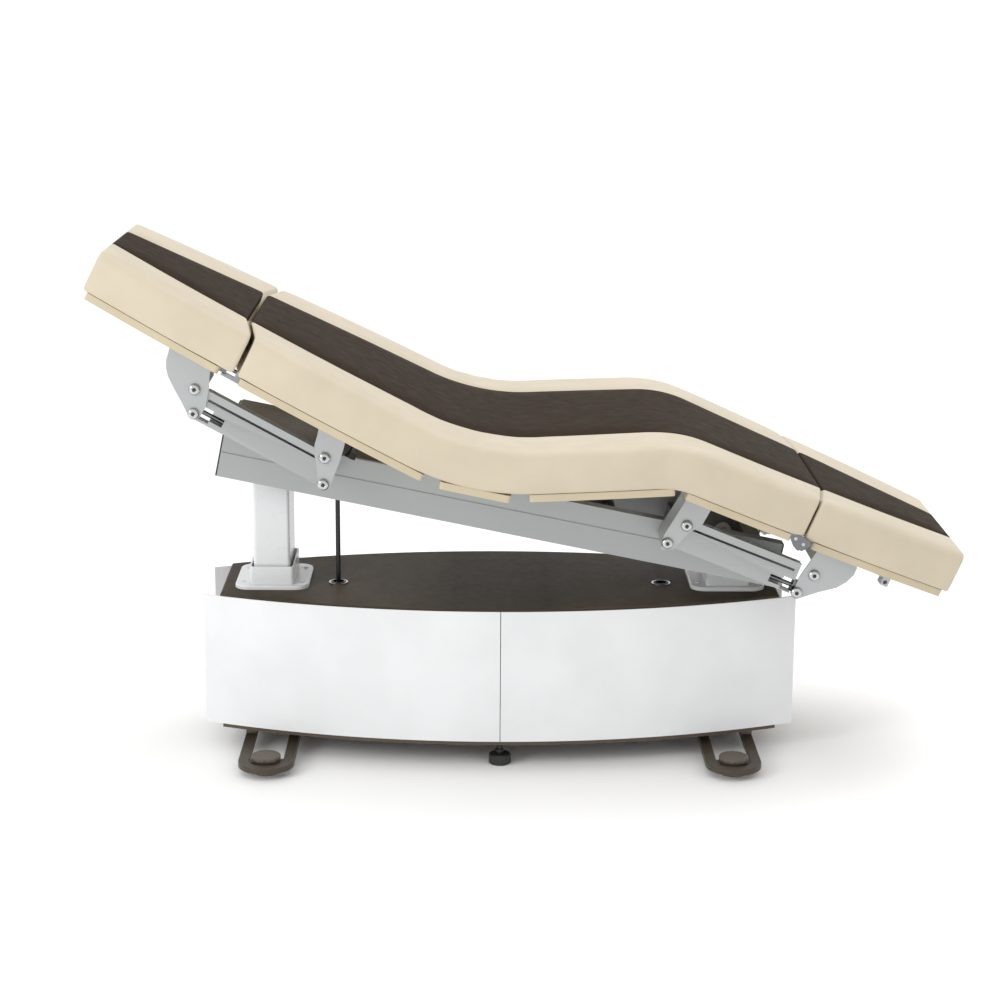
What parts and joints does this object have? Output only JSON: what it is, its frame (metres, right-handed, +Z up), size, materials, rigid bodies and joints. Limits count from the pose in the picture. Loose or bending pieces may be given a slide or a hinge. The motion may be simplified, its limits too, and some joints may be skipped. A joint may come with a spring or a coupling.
{
  "type": "facial treatment bed",
  "caption": "Electric treatment bed: contoured cushioned top in hinged sections on a tilting chassis, two telescopic lifting columns and a long covered base with loop feet.",
  "frame": {"origin": "middle of the whole bed's footprint, on the floor under the levelling pads", "axes": "+X along the bed towards the foot end, +Y to the rear side, +Z up"},
  "size_m": [1.9534, 0.87, 1.1812],
  "materials": {
    "cushion_vinyl": "smooth upholstery vinyl over foam",
    "board_vinyl": "plywood covered in vinyl",
    "rail_metal": "satin extrusion with dark top strip",
    "bracket_steel": "satin plate",
    "frame_steel": "satin black paint",
    "drive_rod": "bright",
    "gas_spring": "black paint",
    "chassis_paint": "satin silver paint",
    "crossmember_steel": "satin grey paint",
    "brown_paint": "satin brown paint",
    "base_board": "brown laminate board",
    "cover_white": "gloss white",
    "panel_grey": "matt",
    "column_white": "semi gloss white",
    "stage_metal": "satin",
    "spindle_steel": "turned",
    "black_plastic": "satin black",
    "ring_chrome": "bright",
    "cable_black": "smooth"
  },
  "bodies": {
    "base": {"bottom_plate": "base_board", "top_plate": "base_board", "front_left_cover": "cover_white", "front_right_cover": "cover_white", "rear_left_cover": "cover_white", "rear_right_cover": "cover_white", "end_panels": "panel_grey", "base_posts": "stage_metal", "control_box": "black_plastic", "mains_inlet": "black_plastic", "cable_rings": "ring_chrome", "foot_loops": "brown_paint", "levelling_feet": "brown_paint", "column_outers": "column_white", "column_flanges": "cover_white", "lift_spindles": "spindle_steel", "cable_lower": "cable_black"},
    "right_column": {"right_column_middle": "column_white", "right_column_inner": "column_white"},
    "chassis": {"chassis_beams": "chassis_paint", "chassis_crossmembers": "crossmember_steel", "chassis_cover": "brown_paint", "pelvis_cushion": "cushion_vinyl", "pelvis_board": "board_vinyl"},
    "carriage": {"pivot_carriage": "stage_metal"},
    "left_column_top": {"left_column_inner": "column_white"},
    "left_column_stage": {"left_column_middle": "column_white"},
    "back_section": {"back_cushion": "cushion_vinyl", "back_board": "board_vinyl", "back_rails": "rail_metal", "back_brackets": "bracket_steel", "back_frame": "frame_steel", "head_gas_springs": "gas_spring"},
    "head_section": {"head_cushion": "cushion_vinyl", "head_board": "board_vinyl", "head_brackets": "bracket_steel"},
    "head_drive": {"head_drive_rods": "drive_rod"},
    "thigh_section": {"thigh_cushion": "cushion_vinyl", "thigh_board": "board_vinyl", "thigh_frame": "frame_steel"},
    "leg_section": {"leg_cushion": "cushion_vinyl", "leg_board": "board_vinyl", "leg_rails": "rail_metal", "leg_brackets": "bracket_steel", "leg_frame": "frame_steel", "foot_gas_springs": "gas_spring"},
    "foot_section": {"foot_cushion": "cushion_vinyl", "foot_board": "board_vinyl", "foot_brackets": "bracket_steel"},
    "foot_drive": {"foot_drive_rods": "drive_rod"},
    "back_motor": {"back_actuator_motor": "black_plastic"},
    "back_rod": {"back_actuator_rod": "spindle_steel"},
    "leg_motor": {"leg_actuator_motor": "black_plastic"},
    "leg_rod": {"leg_actuator_rod": "spindle_steel"},
    "cable_mid": {"cable_upper": "cable_black"},
    "cable_top": {"cable_gland": "black_plastic"},
    "front_foot_knob": {"front_levelling_knob": "black_plastic"},
    "rear_foot_knob": {"rear_levelling_knob": "black_plastic"},
    "front_knob": {"front_clamp_knob": "black_plastic"},
    "rear_knob": {"rear_clamp_knob": "black_plastic"}
  },
  "joints": [
    {"name": "column_lift", "type": "slide", "parent": "base", "child": "right_column", "axis": [0, 0, 1], "range_m": [0, 0.2]},
    {"name": "chassis_tilt", "type": "hinge", "parent": "right_column", "child": "chassis", "pos_m": [0.4657, 0, 0.482], "axis": [0, -1, 0], "range_deg": [0, 11.4]},
    {"name": "carriage_slide", "type": "slide", "parent": "chassis", "child": "carriage", "axis": [0.9802, 0, -0.1979], "range_m": [0, 0.0215]},
    {"name": "left_column_pivot", "type": "hinge", "parent": "carriage", "child": "left_column_top", "pos_m": [-0.5943, 0, 0.696], "axis": [0, -1, 0], "range_deg": [-11.5, 0]},
    {"name": "left_stage_slide", "type": "slide", "parent": "base", "child": "left_column_stage", "axis": [0, 0, 1], "range_m": [-0.2142, 0]},
    {"name": "back_tilt", "type": "hinge", "parent": "chassis", "child": "back_section", "pos_m": [-0.2133, 0, 0.703], "axis": [0, 1, 0], "range_deg": [-15, 45]},
    {"name": "head_fold", "type": "hinge", "parent": "back_section", "child": "head_section", "pos_m": [-0.7363, 0, 0.883], "axis": [0, -1, 0], "range_deg": [0, 30]},
    {"name": "head_drive_slide", "type": "slide", "parent": "back_section", "child": "head_drive", "axis": [0.878, 0, -0.4787], "range_m": [0, 0.02189]},
    {"name": "thigh_tilt", "type": "hinge", "parent": "chassis", "child": "thigh_section", "pos_m": [-0.0263, 0, 0.669], "axis": [0, -1, 0], "range_deg": [-13, 10]},
    {"name": "leg_bend", "type": "hinge", "parent": "thigh_section", "child": "leg_section", "pos_m": [0.3217, 0, 0.678], "axis": [0, 1, 0], "range_deg": [-24.5, 19]},
    {"name": "foot_fold", "type": "hinge", "parent": "leg_section", "child": "foot_section", "pos_m": [0.6337, 0, 0.467], "axis": [0, 1, 0], "range_deg": [0, 30]},
    {"name": "foot_drive_slide", "type": "slide", "parent": "leg_section", "child": "foot_drive", "axis": [0.9285, 0, -0.3714], "range_m": [-0.02312, 0]},
    {"name": "back_motor_pivot", "type": "hinge", "parent": "chassis", "child": "back_motor", "pos_m": [-0.0043, 0, 0.58], "axis": [0, 1, 0], "range_deg": [-3.2, 9.1]},
    {"name": "back_rod_slide", "type": "slide", "parent": "back_motor", "child": "back_rod", "axis": [-0.9662, 0, 0.2577], "range_m": [-0.0139, 0.0414]},
    {"name": "leg_motor_pivot", "type": "hinge", "parent": "chassis", "child": "leg_motor", "pos_m": [0.1857, 0, 0.54], "axis": [0, -1, 0], "range_deg": [-1.2, 1]},
    {"name": "leg_rod_slide", "type": "slide", "parent": "leg_motor", "child": "leg_rod", "axis": [-0.9728, 0, 0.2316], "range_m": [-0.0136, 0.0176]},
    {"name": "cable_lift", "type": "slide", "parent": "base", "child": "cable_mid", "axis": [0, 0, 1], "range_m": [0, 0.2], "deforming": ["cable_lower"]},
    {"name": "cable_follow", "type": "slide", "parent": "cable_mid", "child": "cable_top", "axis": [0, 0, 1], "range_m": [-0.1846, 0], "deforming": ["cable_upper"]},
    {"name": "front_foot_knob_turn", "type": "hinge", "parent": "base", "child": "front_foot_knob", "pos_m": [-0.0643, -0.229, 0], "axis": [0, 0, 1], "continuous": true},
    {"name": "rear_foot_knob_turn", "type": "hinge", "parent": "base", "child": "rear_foot_knob", "pos_m": [-0.0643, 0.229, 0], "axis": [0, 0, 1], "continuous": true},
    {"name": "front_knob_turn", "type": "hinge", "parent": "back_section", "child": "front_knob", "pos_m": [-0.38282, -0.27, 0.76193], "axis": [0.4479, 0, 0.8941], "continuous": true},
    {"name": "rear_knob_turn", "type": "hinge", "parent": "back_section", "child": "rear_knob", "pos_m": [-0.38282, 0.27, 0.76193], "axis": [0.4479, 0, 0.8941], "continuous": true}
  ],
  "couplings": [
    {"joint": "carriage_slide", "follows": "chassis_tilt", "m_per_rad": 0.10736},
    {"joint": "left_column_pivot", "follows": "chassis_tilt", "ratio": -1},
    {"joint": "leg_bend", "follows": "thigh_tilt", "ratio": 1.8725},
    {"joint": "left_stage_slide", "follows": "chassis_tilt", "m_per_rad": -1.0742},
    {"joint": "head_drive_slide", "follows": "head_fold", "m_per_rad": 0.041387},
    {"joint": "foot_drive_slide", "follows": "foot_fold", "m_per_rad": -0.043715},
    {"joint": "back_motor_pivot", "follows": "back_tilt", "ratio": 0.1986},
    {"joint": "back_rod_slide", "follows": "back_tilt", "m_per_rad": 0.0525},
    {"joint": "leg_motor_pivot", "follows": "thigh_tilt", "ratio": 0.0804},
    {"joint": "leg_rod_slide", "follows": "thigh_tilt", "m_per_rad": -0.0768},
    {"joint": "cable_lift", "follows": "column_lift", "ratio": 1},
    {"joint": "cable_follow", "follows": "chassis_tilt", "m_per_rad": -0.926}
  ]
}
